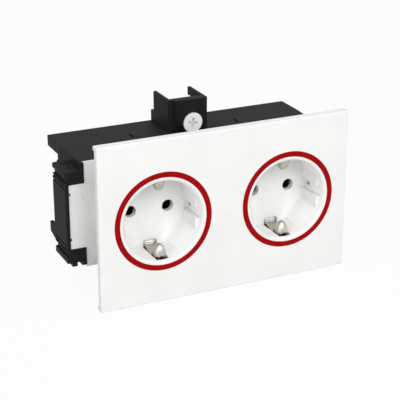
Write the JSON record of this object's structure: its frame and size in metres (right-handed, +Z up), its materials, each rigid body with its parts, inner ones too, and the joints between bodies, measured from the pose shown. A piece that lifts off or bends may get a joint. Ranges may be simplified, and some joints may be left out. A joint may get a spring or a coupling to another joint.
{
  "type": "double socket outlet",
  "caption": "Double earthed socket outlet for cable trunking: white cover plate, red-ringed round wells, black housing with side couplers and a screw clamp.",
  "frame": {"origin": "centre of the cover plate's front face", "axes": "+X to the right seen from the front, +Y back into the trunking, +Z up"},
  "size_m": [0.1434, 0.0665, 0.082],
  "materials": {
    "white_gloss": "smooth semi-gloss white moulding",
    "white_dish": "smooth glossy white moulding",
    "white_frame": "satin white moulding",
    "white_screw": "glossy white moulding",
    "red_collar": "satin deep red moulding",
    "black_housing": "satin black moulding, finely grained",
    "black_carrier": "matt black moulding",
    "nickel_contact": "nickel-plated spring sheet",
    "spring_steel": "bright spring steel",
    "zinc_steel": "zinc-plated steel",
    "brass": "stamped brass"
  },
  "bodies": {
    "outlet": {"cover_plate": "white_gloss", "insert_frame": "white_frame", "front_housing": "black_housing", "left_side_coupler": "black_housing", "right_side_coupler": "black_housing", "rear_cover": "black_housing", "terminal_block": "black_housing", "clamp_bracket": "black_housing", "frame_screws": "zinc_steel", "cover_screws": "zinc_steel", "line_busbar": "brass", "neutral_busbar": "brass", "earth_busbar": "brass", "line_terminal_springs": "spring_steel", "earth_terminal_springs": "spring_steel", "neutral_terminal_springs": "spring_steel", "left_red_collar": "red_collar", "left_socket_dish": "white_dish", "left_earth_contact": "nickel_contact", "left_contact_carrier": "black_carrier", "left_line_contact": "brass", "left_neutral_contact": "brass", "right_red_collar": "red_collar", "right_socket_dish": "white_dish", "right_earth_contact": "nickel_contact", "right_contact_carrier": "black_carrier", "right_line_contact": "brass", "right_neutral_contact": "brass"},
    "clamp_screw": {"clamp_screw": "white_screw", "screw_retainer": "spring_steel"},
    "clamp_claw": {"clamp_claw": "zinc_steel"}
  },
  "joints": [
    {"name": "claw_slide", "type": "slide", "parent": "outlet", "child": "clamp_claw", "axis": [0, -1, 0], "range_m": [0, 0.006]},
    {"name": "screw_turn", "type": "hinge", "parent": "outlet", "child": "clamp_screw", "pos_m": [0, 0.038, 0.0318], "axis": [0, 1, 0], "range_deg": [0, 1440]}
  ],
  "couplings": [
    {"joint": "screw_turn", "follows": "claw_slide", "rad_per_m": 4188.8}
  ]
}
